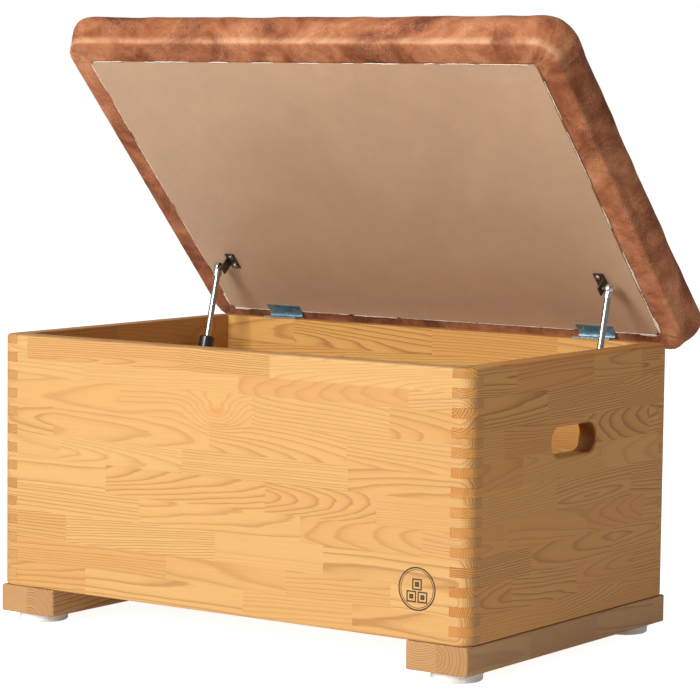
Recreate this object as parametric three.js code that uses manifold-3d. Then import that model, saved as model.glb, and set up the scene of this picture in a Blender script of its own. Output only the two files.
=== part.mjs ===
// Wooden toy box with an upholstered bench lid, shown open on two gas struts.
// Units are millimetres, +Z is up, +X runs along the length, -Y is the front.
import * as THREE from "three";
import { mergeVertices } from "three/addons/utils/BufferGeometryUtils.js";
import Module from "manifold-3d";

const wasm = await Module();
wasm.setup();

// Box body
const BODY_L = 660;
const BODY_W = 436;
const BODY_H = 300;
const WALL = 24;
const CORNER_R = 16;
const EDGE_R = 3.5;
const FINGERS = 28;
const GLUE = 0.2;
const FLOOR_T = 12;
const FLOOR_LIFT = 6;
const GROOVE = 8;

// Hand slots in the end panels
const SLOT_L = 97;
const SLOT_H = 33;
const SLOT_BELOW_RIM = 95;
const SLOT_ROUND = 4;

// Skids and glides
const SKID_W = 80;
const SKID_H = 32;
const GLIDE_R = 30;
const GLIDE_H = 11;
const GLIDE_INSET_X = 36;
const GLIDE_INSET_Y = 36;

// Heights of the stack
const BODY_Z = GLIDE_H + SKID_H;
const RIM_Z = BODY_Z + BODY_H;

// Hinge line at the rear top edge of the back panel
const OPEN_DEG = 47;
const KNUCKLE_R = 3;
const HINGE_Y = BODY_W / 2 + 3.2;
const HINGE_Z = RIM_Z + 1.85;
const HINGE_X = 230;
const HINGE_W = 50;
const LEAF_T = 1.6;
const LEAF_REACH = 18;
const PIN_R = 1.4;

// Lid, measured with the lid shut
const LINING_L = 630;
const LINING_W = 427;
const LINING_T = 3;
const LINING_Y = -0.5;
const UNDERSIDE_Z = RIM_Z + 3.7;
const LID_BOARD_T = 12;
const PAD_L = 708;
const PAD_W = 503;
const PAD_Y = -1.5;
const PAD_TOP = RIM_Z + 60;
const PAD_BOTTOM = RIM_Z + 5.3;
const PAD_CORNER_R = 36;
const PAD_TOP_ROUND = 22;
const PAD_LOW_ROUND = 9;
const COVER_T = 1.4;
const FIT = 0.3;
const BOARD_INSET = 12;

// Gas struts
const STRUT_X = BODY_L / 2 - WALL - 20;
const STUD_REACH = 97;
const STUD_DROP = 13;
const STRUT_LEAN_DEG = 14.5;
const STRUT_OPEN = 228;
const TUBE_START = 90;
const TUBE_R = 9.5;
const ROD_R = 3.9;
const BALL_R = 4.2;
const CUP_R = 6.3;
const NECK_LEN = 11.5;
const MOUTH_X = 2.4;
const NECK_X = 4;
const NECK_R = 5;

const WOOD = 0xd9a45a;
const STEEL = 0x9fb0bb;
const DARK = 0x2b2c2e;

function solidOf(geometry) {
  const g = geometry.clone();
  g.deleteAttribute("normal");
  g.deleteAttribute("uv");
  const merged = mergeVertices(g, 1e-4);
  const src = merged.index.array;
  const tris = [];
  for (let i = 0; i < src.length; i += 3) {
    const [a, b, c] = [src[i], src[i + 1], src[i + 2]];
    if (a !== b && b !== c && a !== c) {
      tris.push(a, b, c);
    }
  }
  const vertProperties = new Float32Array(merged.attributes.position.array);
  const triVerts = new Uint32Array(tris);
  return new wasm.Manifold(new wasm.Mesh({ numProp: 3, vertProperties, triVerts }));
}

function geometryOf(solid) {
  const mesh = solid.getMesh();
  const g = new THREE.BufferGeometry();
  g.setAttribute("position", new THREE.BufferAttribute(new Float32Array(mesh.vertProperties), 3));
  g.setIndex(new THREE.BufferAttribute(new Uint32Array(mesh.triVerts), 1));
  const flat = g.toNonIndexed();
  flat.computeVertexNormals();
  return flat;
}

function transformed(solid, matrix) {
  return solid.transform(matrix.elements);
}

function block(x0, x1, y0, y1, z0, z1) {
  const g = new THREE.BoxGeometry(x1 - x0, y1 - y0, z1 - z0);
  g.translate((x0 + x1) / 2, (y0 + y1) / 2, (z0 + z1) / 2);
  return solidOf(g);
}

function roundedRect(lx, ly, r) {
  const hx = lx / 2;
  const hy = ly / 2;
  const shape = new THREE.Shape();
  shape.moveTo(-hx + r, -hy);
  shape.lineTo(hx - r, -hy);
  shape.absarc(hx - r, -hy + r, r, -Math.PI / 2, 0, false);
  shape.lineTo(hx, hy - r);
  shape.absarc(hx - r, hy - r, r, 0, Math.PI / 2, false);
  shape.lineTo(-hx + r, hy);
  shape.absarc(-hx + r, hy - r, r, Math.PI / 2, Math.PI, false);
  shape.lineTo(-hx, -hy + r);
  shape.absarc(-hx + r, -hy + r, r, Math.PI, 1.5 * Math.PI, false);
  return shape;
}

// A prism with rounded corners in plan and rounded top and bottom edges.
function prism(shape, z0, z1, edge = 0, curveSegments = 5, bevelSegments = 3) {
  const g = new THREE.ExtrudeGeometry(shape, {
    depth: z1 - z0 - 2 * Math.abs(edge),
    bevelEnabled: edge !== 0,
    bevelThickness: Math.abs(edge),
    bevelSize: edge,
    bevelOffset: -edge,
    bevelSegments,
    curveSegments,
  });
  g.translate(0, 0, z0 + Math.abs(edge));
  return solidOf(g);
}

// A turned piece: profile points are (radius, height), listed so the loop closes.
function turned(points, segments = 24) {
  const g = new THREE.LatheGeometry(points.map(([r, z]) => new THREE.Vector2(r, z)), segments);
  g.rotateX(Math.PI / 2);
  const solid = solidOf(g);
  return solid.volume() < 0 ? solidOf(flipped(g)) : solid;
}

function flipped(geometry) {
  const g = geometry.clone();
  const idx = g.index.array;
  for (let i = 0; i < idx.length; i += 3) {
    const keep = idx[i];
    idx[i] = idx[i + 2];
    idx[i + 2] = keep;
  }
  return g;
}

function rod(r, z0, z1, segments = 24) {
  const g = new THREE.CylinderGeometry(r, r, z1 - z0, segments);
  g.rotateX(Math.PI / 2);
  g.translate(0, 0, (z0 + z1) / 2);
  return solidOf(g);
}

function ball(r, wide = 14, high = 8) {
  return solidOf(new THREE.SphereGeometry(r, wide, high));
}

function union(list) {
  return list.reduce((sum, next) => sum.add(next));
}

function moved(solid, x, y, z) {
  return transformed(solid, new THREE.Matrix4().makeTranslation(x, y, z));
}

function aimX(solid, sign) {
  return transformed(solid, new THREE.Matrix4().makeRotationY((sign * Math.PI) / 2));
}

// Turn a piece drawn with the lid shut into the open pose.
function opened(solid) {
  const out = new THREE.Matrix4().makeTranslation(0, -HINGE_Y, -HINGE_Z);
  const turn = new THREE.Matrix4().makeRotationX(THREE.MathUtils.degToRad(-OPEN_DEG));
  const back = new THREE.Matrix4().makeTranslation(0, HINGE_Y, HINGE_Z);
  return transformed(solid, back.multiply(turn).multiply(out));
}

function openedPoint(y, z) {
  const a = THREE.MathUtils.degToRad(OPEN_DEG);
  const dy = y - HINGE_Y;
  const dz = z - HINGE_Z;
  return [HINGE_Y + dy * Math.cos(a) + dz * Math.sin(a), HINGE_Z - dy * Math.sin(a) + dz * Math.cos(a)];
}

// A countersunk wood screw along +Z, head face at z = 0.
function countersunkScrew(headR, headH, shaftR, length) {
  const body = turned([[0, 0], [headR, 0], [headR, 0.25], [shaftR, headH], [shaftR, length - 3], [0, length]], 10);
  return body.subtract(crossRecess(headR * 0.62, headH * 0.55));
}

// A pan head screw along +Z, the underside of the head at z = 0.
function panScrew(headR, headH, shaftR, length) {
  const body = turned([
    [0, -headH], [headR * 0.7, -headH], [headR, -headH * 0.45], [headR, 0], [shaftR, 0],
    [shaftR, length - 3], [0, length],
  ], 10);
  return body.subtract(moved(crossRecess(headR * 0.55, headH * 0.6), 0, 0, -headH));
}

function crossRecess(reach, depth) {
  const a = block(-reach, reach, -0.35, 0.35, -0.1, depth);
  const b = block(-0.35, 0.35, -reach, reach, -0.1, depth);
  return a.add(b);
}

// Where each screw sits, so the hole and the screw come from one list.
const flipUp = new THREE.Matrix4();
const flipDown = new THREE.Matrix4().makeRotationX(Math.PI);

function placed(solid, matrix, x, y, z) {
  return transformed(solid, new THREE.Matrix4().makeTranslation(x, y, z).multiply(matrix));
}

const parts = [];

function addPart(name, solid, color, extra = {}) {
  const material = new THREE.MeshStandardMaterial({ color, roughness: 0.6, metalness: 0, ...extra });
  const mesh = new THREE.Mesh(geometryOf(solid), material);
  mesh.name = name;
  parts.push(mesh);
}

const STEEL_LOOK = { metalness: 0.9, roughness: 0.35 };

// ---- box body -------------------------------------------------------------

function fingerBands(parity) {
  const pitch = BODY_H / FINGERS;
  const bands = [];
  for (let i = 0; i < FINGERS; i += 1) {
    if (i % 2 === parity) {
      const top = RIM_Z - i * pitch;
      const low = i === FINGERS - 1 ? BODY_Z : top - pitch + GLUE / 2;
      bands.push([low, i === 0 ? RIM_Z : top - GLUE / 2]);
    }
  }
  return bands;
}

const hx = BODY_L / 2;
const hy = BODY_W / 2;
const envelope = prism(roundedRect(BODY_L, BODY_W, CORNER_R), BODY_Z, RIM_Z, EDGE_R, 4, 2);
const groove = block(
  -hx + WALL - GROOVE, hx - WALL + GROOVE,
  -hy + WALL - GROOVE, hy - WALL + GROOVE,
  BODY_Z + FLOOR_LIFT, BODY_Z + FLOOR_LIFT + FLOOR_T + 2 * GLUE,
);

function longPanel(side) {
  const outer = side * hy;
  const inner = side * (hy - WALL);
  const y0 = Math.min(outer, inner);
  const y1 = Math.max(outer, inner);
  const masks = [block(-hx + WALL + GLUE, hx - WALL - GLUE, y0, y1, BODY_Z, RIM_Z)];
  for (const [z0, z1] of fingerBands(1)) {
    masks.push(block(-hx, hx, y0, y1, z0, z1));
  }
  return union(masks).intersect(envelope).subtract(groove);
}

function slotCutter(side) {
  const x0 = side > 0 ? hx - WALL : -hx;
  const slot = roundedRect(SLOT_H, SLOT_L, SLOT_H / 2 - 0.01);
  const cutter = prism(slot, -0.02, WALL + 0.02, -SLOT_ROUND, 6, 3);
  const upright = transformed(cutter, new THREE.Matrix4().makeRotationY(Math.PI / 2));
  return moved(upright, x0, 0, RIM_Z - SLOT_BELOW_RIM);
}

function endPanel(side) {
  const outer = side * hx;
  const inner = side * (hx - WALL);
  const x0 = Math.min(outer, inner);
  const x1 = Math.max(outer, inner);
  const masks = [block(x0, x1, -hy + WALL + GLUE, hy - WALL - GLUE, BODY_Z, RIM_Z)];
  for (const [z0, z1] of fingerBands(0)) {
    masks.push(block(x0, x1, -hy, hy, z0, z1));
  }
  return union(masks).intersect(envelope).subtract(groove).subtract(slotCutter(side));
}

// ---- screws ---------------------------------------------------------------

const HINGE_SCREW = { headR: 3.1, headH: 1.5, shaftR: 1.5, length: 15 };
const PLATE_SCREW = { headR: 3.2, headH: 1.6, shaftR: 1.6, length: 13 };
const SKID_SCREW = { headR: 5, headH: 3.6, shaftR: 2.4, length: 48 };
const GLIDE_SCREW = { headR: 4.2, headH: 2.8, shaftR: 1.9, length: 24 };

function hingeScrew() {
  const s = HINGE_SCREW;
  return countersunkScrew(s.headR, s.headH, s.shaftR, s.length);
}

function plateScrew() {
  const s = PLATE_SCREW;
  return panScrew(s.headR, s.headH, s.shaftR, s.length);
}

function pilot(shaftR, length, z0 = -1) {
  return rod(shaftR + 0.25, z0, length + 0.6, 10);
}

function sink(s) {
  return turned([
    [0, -1], [s.headR + 0.25, -1], [s.headR + 0.25, 0.3],
    [s.shaftR + 0.25, s.headH + 0.1], [s.shaftR + 0.25, s.length + 0.6], [0, s.length + 0.6],
  ], 10);
}

// ---- hinges ---------------------------------------------------------------

const HINGE_SCREW_X = 16;
const BOX_LEAF_SCREW_Y = HINGE_Y - 12.5;
const LID_LEAF_SCREW_Y = HINGE_Y - 13.5;

function knuckle(x0, x1) {
  const barrel = aimX(rod(KNUCKLE_R, x0, x1, 20), 1);
  return moved(barrel, 0, HINGE_Y, HINGE_Z);
}

function pinBore(x0, x1) {
  return moved(aimX(rod(PIN_R + 0.2, x0 - 1, x1 + 1, 16), 1), 0, HINGE_Y, HINGE_Z);
}

function leaf(x, mine, theirs, z0, z1) {
  const x0 = x - HINGE_W / 2;
  const x1 = x + HINGE_W / 2;
  const edge = HINGE_Y - KNUCKLE_R - 0.4;
  let plate = block(x0, x1, HINGE_Y - LEAF_REACH, HINGE_Y, z0, z1);
  for (const [a, b] of theirs) {
    plate = plate.subtract(block(x + a - 0.25, x + b + 0.25, edge, HINGE_Y + 1, z0 - 1, z1 + 1));
  }
  const barrels = mine.map(([a, b]) => knuckle(x + a, x + b));
  return union([plate, ...barrels]).subtract(pinBore(x0, x1));
}

const BOX_KNUCKLES = [[-25, -8.6], [8.6, 25]];
const LID_KNUCKLES = [[-8.2, 8.2]];

function boxLeaf(x) {
  let body = leaf(x, BOX_KNUCKLES, LID_KNUCKLES, RIM_Z + 0.02, RIM_Z + LEAF_T);
  for (const dx of [-HINGE_SCREW_X, HINGE_SCREW_X]) {
    body = body.subtract(placed(sink(HINGE_SCREW), flipDown, x + dx, BOX_LEAF_SCREW_Y, RIM_Z + LEAF_T));
  }
  return body;
}

function lidLeafShut(x) {
  let body = leaf(x, LID_KNUCKLES, BOX_KNUCKLES, UNDERSIDE_Z - LEAF_T, UNDERSIDE_Z - 0.02);
  for (const dx of [-HINGE_SCREW_X, HINGE_SCREW_X]) {
    body = body.subtract(placed(sink(HINGE_SCREW), flipUp, x + dx, LID_LEAF_SCREW_Y, UNDERSIDE_Z - LEAF_T));
  }
  return body;
}

function hingePin(x) {
  return moved(aimX(rod(PIN_R, x - HINGE_W / 2 + 0.1, x + HINGE_W / 2 - 0.1, 16), 1), 0, HINGE_Y, HINGE_Z);
}

// ---- struts ---------------------------------------------------------------

const STUD_SHUT = [HINGE_Y - STUD_REACH, UNDERSIDE_Z - STUD_DROP];
const STUD_OPEN = openedPoint(STUD_SHUT[0], STUD_SHUT[1]);
const LEAN = THREE.MathUtils.degToRad(STRUT_LEAN_DEG);
const ANCHOR = [
  STUD_OPEN[0] - STRUT_OPEN * Math.sin(LEAN),
  STUD_OPEN[1] - STRUT_OPEN * Math.cos(LEAN),
];

// Strut pieces are drawn with the lid stud at the origin and the strut hanging down -Z.
function hung(solid, side) {
  const turn = new THREE.Matrix4().makeRotationX(-LEAN);
  const place = new THREE.Matrix4().makeTranslation(side * STRUT_X, STUD_OPEN[0], STUD_OPEN[1]);
  return transformed(solid, place.multiply(turn));
}

// A ball cup open towards +X (facing = 1) or -X (facing = -1), with a neck along +Z or -Z.
function cup(facing, up) {
  const shell = ball(CUP_R).intersect(block(-20, MOUTH_X, -20, 20, -20, 20));
  const neck = up > 0 ? rod(NECK_R, 2, NECK_LEN, 14) : rod(NECK_R, -NECK_LEN, -2, 14);
  const seat = ball(BALL_R + 2 * FIT, 12, 8);
  const mouth = aimX(rod(BALL_R - 0.1, 0, 20, 12), 1);
  const whole = shell.add(neck.intersect(block(-20, NECK_X, -20, 20, -40, 40))).subtract(seat).subtract(mouth);
  return facing > 0 ? whole : transformed(whole, new THREE.Matrix4().makeScale(-1, 1, 1));
}

function upperSocket(side) {
  const body = cup(-side, -1).subtract(rod(ROD_R + 0.25, -NECK_LEN - 1, -8.2, 16));
  return hung(body, side);
}

function strutRod(side) {
  return hung(rod(ROD_R, -TUBE_START - 14, -8.6), side);
}

function strutTube(side) {
  const low = -STRUT_OPEN + NECK_LEN + 0.05;
  const outer = turned([
    [0, low], [TUBE_R - 1.5, low], [TUBE_R, low + 1.5], [TUBE_R, -TUBE_START - 1.5],
    [TUBE_R - 1.5, -TUBE_START], [0, -TUBE_START],
  ], 28);
  const bore = rod(ROD_R + 0.4, -TUBE_START - 102, -TUBE_START + 1);
  return hung(outer.subtract(bore), side);
}

// The lower ball is inside the housing and isn't drawn, so the housing is solid with a flat mouth.
function lowerSocket(side) {
  const shell = ball(CUP_R).intersect(block(-20, MOUTH_X, -20, 20, -20, 20));
  const neck = rod(NECK_R, -NECK_LEN, -2, 14).intersect(block(-20, NECK_X, -20, 20, -40, 40));
  const upright = transformed(shell.add(neck), new THREE.Matrix4().makeRotationX(Math.PI));
  const whole = side > 0 ? upright : transformed(upright, new THREE.Matrix4().makeScale(-1, 1, 1));
  return hung(moved(whole, 0, 0, -STRUT_OPEN), side);
}

function ballStud(length) {
  return ball(BALL_R).add(aimX(rod(2.6, 0, length, 12), 1));
}

const LID_PLATE_X = STRUT_X - 9;
const LID_PLATE_SCREWS = [[LID_PLATE_X - 8, -7], [LID_PLATE_X - 8, 7]];

function lidBracketShut(side) {
  const [y, z] = STUD_SHUT;
  const x = LID_PLATE_X;
  const leg = block(x - 2, x, y - 6, y + 6, z - 6, UNDERSIDE_Z - 0.02);
  const foot = block(x - 13, x, y - 12, y + 12, UNDERSIDE_Z - 2, UNDERSIDE_Z - 0.02);
  const stud = moved(transformed(ballStud(10), new THREE.Matrix4().makeRotationY(Math.PI)), STRUT_X, y, z);
  let body = union([leg, foot, stud]);
  for (const [sx, dy] of LID_PLATE_SCREWS) {
    body = body.subtract(moved(rod(PLATE_SCREW.shaftR + 0.25, -6, 6, 10), sx, y + dy, UNDERSIDE_Z));
  }
  return side > 0 ? body : transformed(body, new THREE.Matrix4().makeScale(-1, 1, 1));
}

const BOX_PLATE_SCREWS = [-13, 13];

function boxBracket(side) {
  const [y, z] = ANCHOR;
  const wall = hx - WALL;
  const plate = block(wall - 2, wall - 0.02, y - 11, y + 11, z - 19, z + 19);
  const start = STRUT_X + NECK_X + FIT;
  const length = wall - 1 - start;
  const post = aimX(rod(2.6, 0, length, 12).add(rod(5, length - 4, length, 16)), 1);
  let body = plate.add(moved(post, start, y, z));
  for (const dz of BOX_PLATE_SCREWS) {
    const hole = aimX(rod(PLATE_SCREW.shaftR + 0.25, -6, 6, 10), 1);
    body = body.subtract(moved(hole, wall, y, z + dz));
  }
  return side > 0 ? body : transformed(body, new THREE.Matrix4().makeScale(-1, 1, 1));
}

// ---- lid ------------------------------------------------------------------

// The padded outline, drawn inset by a given amount all round.
function padBody(inset) {
  const lx = PAD_L - 2 * inset;
  const ly = PAD_W - 2 * inset;
  const r = PAD_CORNER_R - inset;
  const z0 = PAD_BOTTOM + inset;
  const z1 = PAD_TOP - inset;
  const upper = prism(roundedRect(lx, ly, r), z0 - 60, z1, PAD_TOP_ROUND - inset, 6, 4);
  const lower = prism(roundedRect(lx, ly, r), z0, z1 + 40, PAD_LOW_ROUND - inset, 6, 3);
  return moved(upper.intersect(lower), 0, PAD_Y, 0);
}

const boardLow = PAD_BOTTOM + COVER_T + 0.1;
const boardTop = boardLow + LID_BOARD_T;

function liningOutline(extra) {
  return roundedRect(LINING_L + 2 * extra, LINING_W + 2 * extra, 6);
}

function coverShut() {
  const hole = moved(prism(liningOutline(0.4), PAD_BOTTOM - 5, PAD_BOTTOM + 5), 0, LINING_Y, 0);
  return padBody(0).subtract(padBody(COVER_T)).subtract(hole);
}

function boardShut(extra = 0) {
  const inset = BOARD_INSET - extra;
  const outline = roundedRect(PAD_L - 2 * inset, PAD_W - 2 * inset, PAD_CORNER_R - inset);
  return moved(prism(outline, boardLow - extra, boardTop + extra), 0, PAD_Y, 0);
}

// The foam lies on the board and wraps down round its edges.
function foamShut() {
  const slab = block(-400, 400, -300, 300, boardLow, PAD_TOP + 10);
  return padBody(COVER_T + FIT).intersect(slab).subtract(boardShut(0.2));
}

function liningShut() {
  const z0 = UNDERSIDE_Z;
  return moved(prism(liningOutline(0), z0, z0 + LINING_T), 0, LINING_Y, 0);
}

// ---- holes for the screws -------------------------------------------------

function hingeScrewSpots() {
  const spots = [];
  for (const [side, x] of [["left", -HINGE_X], ["right", HINGE_X]]) {
    for (const [tag, dx] of [["a", -HINGE_SCREW_X], ["b", HINGE_SCREW_X]]) {
      spots.push([side, tag, x + dx]);
    }
  }
  return spots;
}

function mirroredX(side, x) {
  return side === "left" ? -x : x;
}

function withHoles(solid, holes) {
  return holes.reduce((body, hole) => body.subtract(hole), solid);
}

const boxHingeHoles = hingeScrewSpots().map(
  ([, , x]) => placed(pilot(HINGE_SCREW.shaftR, HINGE_SCREW.length), flipDown, x, BOX_LEAF_SCREW_Y, RIM_Z + LEAF_T),
);
const lidHingeHoles = hingeScrewSpots().map(
  ([, , x]) => placed(pilot(HINGE_SCREW.shaftR, HINGE_SCREW.length), flipUp, x, LID_LEAF_SCREW_Y,
    UNDERSIDE_Z - LEAF_T),
);
const lidPlateHoles = ["left", "right"].flatMap((side) => LID_PLATE_SCREWS.map(
  ([sx, dy]) => placed(pilot(PLATE_SCREW.shaftR, PLATE_SCREW.length), flipUp, mirroredX(side, sx),
    STUD_SHUT[0] + dy, UNDERSIDE_Z - 2),
));

function boxPlateHoles(side) {
  return BOX_PLATE_SCREWS.map((dz) => {
    const hole = aimX(pilot(PLATE_SCREW.shaftR, PLATE_SCREW.length), side);
    return moved(hole, side * (hx - WALL - 2), ANCHOR[0], ANCHOR[1] + dz);
  });
}

const SKID_SCREW_X = hx - WALL / 2;
const SKID_SCREW_Y = 120;
const SKID_SINK = 12;

function skidHoles(side) {
  const holes = [];
  for (const y of [-SKID_SCREW_Y, SKID_SCREW_Y]) {
    const x = side * SKID_SCREW_X;
    holes.push(moved(sink(SKID_SCREW), x, y, GLIDE_H + SKID_SINK));
    holes.push(moved(rod(SKID_SCREW.headR + 0.25, -1, SKID_SINK + 0.3, 10), x, y, GLIDE_H));
  }
  return holes;
}

const glideX = hx - GLIDE_INSET_X;
const glideY = hy - GLIDE_INSET_Y;

function skid(side) {
  const x = side * (hx - SKID_W / 2);
  const rail = moved(prism(roundedRect(SKID_W, BODY_W, 3), GLIDE_H, BODY_Z, 1.5, 4, 2), x, 0, 0);
  const pilots = [-glideY, glideY].map(
    (y) => moved(pilot(GLIDE_SCREW.shaftR, GLIDE_SCREW.length), side * glideX, y, 3),
  );
  return withHoles(rail, [...skidHoles(side), ...pilots]);
}

function glide(x, y) {
  const r = GLIDE_R;
  const body = turned([
    [8, 0], [r - 3, 0], [r - 1.2, 1.4], [r - 1.2, GLIDE_H - 4], [r, GLIDE_H - 3], [r, GLIDE_H - 0.6],
    [r - 0.6, GLIDE_H - 0.05], [2.6, GLIDE_H - 0.05], [2.6, 6.2], [5.4, 2.2], [8, 0],
  ], 28);
  return moved(body, x, y, 0);
}

// ---- assembly -------------------------------------------------------------

addPart("front_panel", longPanel(-1), WOOD);
addPart("back_panel", withHoles(longPanel(1), boxHingeHoles), WOOD);
for (const [name, side] of [["left", -1], ["right", 1]]) {
  const holes = [...boxPlateHoles(side), ...skidHoles(side)];
  addPart(`${name}_end_panel`, withHoles(endPanel(side), holes), WOOD);
}
const floorPanel = block(
  -hx + WALL - GROOVE + 0.4, hx - WALL + GROOVE - 0.4,
  -hy + WALL - GROOVE + 0.4, hy - WALL + GROOVE - 0.4,
  BODY_Z + FLOOR_LIFT + GLUE, BODY_Z + FLOOR_LIFT + FLOOR_T + GLUE,
);
addPart("bottom_panel", floorPanel, WOOD);

for (const [name, side] of [["left", -1], ["right", 1]]) {
  addPart(`${name}_skid`, skid(side), 0xc98f4c);
  for (const [tag, dir] of [["front", -1], ["back", 1]]) {
    const x = side * glideX;
    const y = dir * glideY;
    addPart(`glide_${tag}_${name}`, glide(x, y), 0xf2f2ee);
    const s = GLIDE_SCREW;
    const screw = countersunkScrew(s.headR, s.headH, s.shaftR, s.length);
    addPart(`glide_screw_${tag}_${name}`, moved(screw, x, y, 3.4), STEEL, STEEL_LOOK);
    const k = SKID_SCREW;
    const long = countersunkScrew(k.headR, k.headH, k.shaftR, k.length);
    const ky = dir * SKID_SCREW_Y;
    addPart(`skid_screw_${tag}_${name}`, moved(long, side * SKID_SCREW_X, ky, GLIDE_H + SKID_SINK), STEEL, STEEL_LOOK);
  }
}

addPart("lid_board", opened(withHoles(boardShut(), [...lidHingeHoles, ...lidPlateHoles])), 0xcdb48a);
addPart("lid_foam", opened(foamShut()), 0xf0e6c8);
addPart("lid_cover", opened(coverShut()), 0x9c5a3c);
addPart("lid_lining", opened(withHoles(liningShut(), [...lidHingeHoles, ...lidPlateHoles])), 0xb9936b);

for (const [name, x] of [["left", -HINGE_X], ["right", HINGE_X]]) {
  addPart(`${name}_hinge_box_leaf`, boxLeaf(x), STEEL, STEEL_LOOK);
  addPart(`${name}_hinge_lid_leaf`, opened(lidLeafShut(x)), STEEL, STEEL_LOOK);
  addPart(`${name}_hinge_pin`, hingePin(x), STEEL, STEEL_LOOK);
}
for (const [side, tag, x] of hingeScrewSpots()) {
  const down = placed(hingeScrew(), flipDown, x, BOX_LEAF_SCREW_Y, RIM_Z + LEAF_T - 0.05);
  const up = placed(hingeScrew(), flipUp, x, LID_LEAF_SCREW_Y, UNDERSIDE_Z - LEAF_T + 0.05);
  addPart(`${side}_hinge_box_screw_${tag}`, down, STEEL, STEEL_LOOK);
  addPart(`${side}_hinge_lid_screw_${tag}`, opened(up), STEEL, STEEL_LOOK);
}

for (const [name, side] of [["left", -1], ["right", 1]]) {
  addPart(`${name}_strut_tube`, strutTube(side), DARK, { metalness: 0.6, roughness: 0.4 });
  addPart(`${name}_strut_rod`, strutRod(side), 0xd8dde0, { metalness: 1, roughness: 0.15 });
  addPart(`${name}_strut_upper_socket`, upperSocket(side), STEEL, STEEL_LOOK);
  addPart(`${name}_strut_lower_socket`, lowerSocket(side), DARK);
  addPart(`${name}_lid_bracket`, opened(lidBracketShut(side)), DARK, STEEL_LOOK);
  addPart(`${name}_box_bracket`, boxBracket(side), DARK, STEEL_LOOK);
  for (const [tag, k] of [["a", 0], ["b", 1]]) {
    const [sx, dy] = LID_PLATE_SCREWS[k];
    const up = placed(plateScrew(), flipUp, side * sx, STUD_SHUT[0] + dy, UNDERSIDE_Z - 2.02);
    addPart(`${name}_lid_bracket_screw_${tag}`, opened(up), STEEL, STEEL_LOOK);
    const out = aimX(plateScrew(), side);
    const z = ANCHOR[1] + BOX_PLATE_SCREWS[k];
    addPart(`${name}_box_bracket_screw_${tag}`, moved(out, side * (hx - WALL - 2.02), ANCHOR[0], z), STEEL, STEEL_LOOK);
  }
}

// Origin: on the floor, in the middle of the open pose's outline.
const group = new THREE.Group();
group.name = "wooden_toy_box";
for (const mesh of parts) {
  group.add(mesh);
}
const outline = new THREE.Box3().setFromObject(group);
const shift = new THREE.Vector3(
  -(outline.min.x + outline.max.x) / 2,
  -(outline.min.y + outline.max.y) / 2,
  -outline.min.z,
);
for (const mesh of parts) {
  mesh.geometry.translate(shift.x, shift.y, shift.z);
}

export default group;
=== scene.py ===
"""Looks for the wooden toy box with an upholstered lid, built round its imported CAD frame."""

import math
import random

import bmesh
import bpy
import numpy as np
from mathutils import Matrix, Vector


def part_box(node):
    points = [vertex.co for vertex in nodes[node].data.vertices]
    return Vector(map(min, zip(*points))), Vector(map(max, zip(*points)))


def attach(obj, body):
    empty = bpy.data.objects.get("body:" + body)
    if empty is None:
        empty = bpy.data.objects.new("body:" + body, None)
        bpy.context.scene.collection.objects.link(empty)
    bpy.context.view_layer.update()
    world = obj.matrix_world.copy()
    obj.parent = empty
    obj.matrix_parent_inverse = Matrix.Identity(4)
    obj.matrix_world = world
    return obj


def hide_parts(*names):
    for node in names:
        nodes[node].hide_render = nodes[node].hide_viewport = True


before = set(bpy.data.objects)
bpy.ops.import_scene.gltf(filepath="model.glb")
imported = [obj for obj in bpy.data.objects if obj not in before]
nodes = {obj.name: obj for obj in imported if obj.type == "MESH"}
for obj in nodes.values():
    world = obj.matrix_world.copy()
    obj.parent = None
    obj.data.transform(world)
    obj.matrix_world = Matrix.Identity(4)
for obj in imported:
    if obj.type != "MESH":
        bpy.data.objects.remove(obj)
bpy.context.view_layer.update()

scene = bpy.context.scene

# Places taken from the CAD frame, in metres
front_low, front_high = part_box("front_panel")
right_low, right_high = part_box("right_end_panel")
pin_low, pin_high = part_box("left_hinge_pin")
RIM_Z = front_high.z
BODY_X = front_high.x
FRONT_Y = front_low.y
BACK_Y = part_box("back_panel")[1].y
BODY_MID_Y = (right_low.y + right_high.y) / 2
HINGE = Vector((0, (pin_low.y + pin_high.y) / 2, (pin_low.z + pin_high.z) / 2))
OPEN = math.radians(47)   # how far the lid stands open
MM = 0.001
# Along the end panel from its middle, down from the rim, half length, half height
HAND_SLOT = (0.0, 0.095, 0.0485, 0.0165)


# ---- camera, lights and floor ---------------------------------------------------

def add_camera():
    azimuth, elevation, roll = (math.radians(a) for a in (34.72, 5.08, 0.72))
    target = Vector((0.0214, -0.02813, 0.33018))
    distance = 3.47616
    back = Vector((
        math.sin(azimuth) * math.cos(elevation),
        -math.cos(azimuth) * math.cos(elevation),
        math.sin(elevation),
    ))
    right = Vector((math.cos(azimuth), math.sin(azimuth), 0))
    up = back.cross(right)
    x_axis = math.cos(roll) * right + math.sin(roll) * up
    y_axis = -math.sin(roll) * right + math.cos(roll) * up
    data = bpy.data.cameras.new("camera")
    data.sensor_width = 36
    data.lens = 151.6
    data.clip_end = 100
    camera = bpy.data.objects.new("camera", data)
    turn = Matrix((x_axis, y_axis, back)).transposed().to_4x4()
    camera.matrix_world = Matrix.Translation(target + back * distance) @ turn
    scene.collection.objects.link(camera)
    scene.camera = camera


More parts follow.
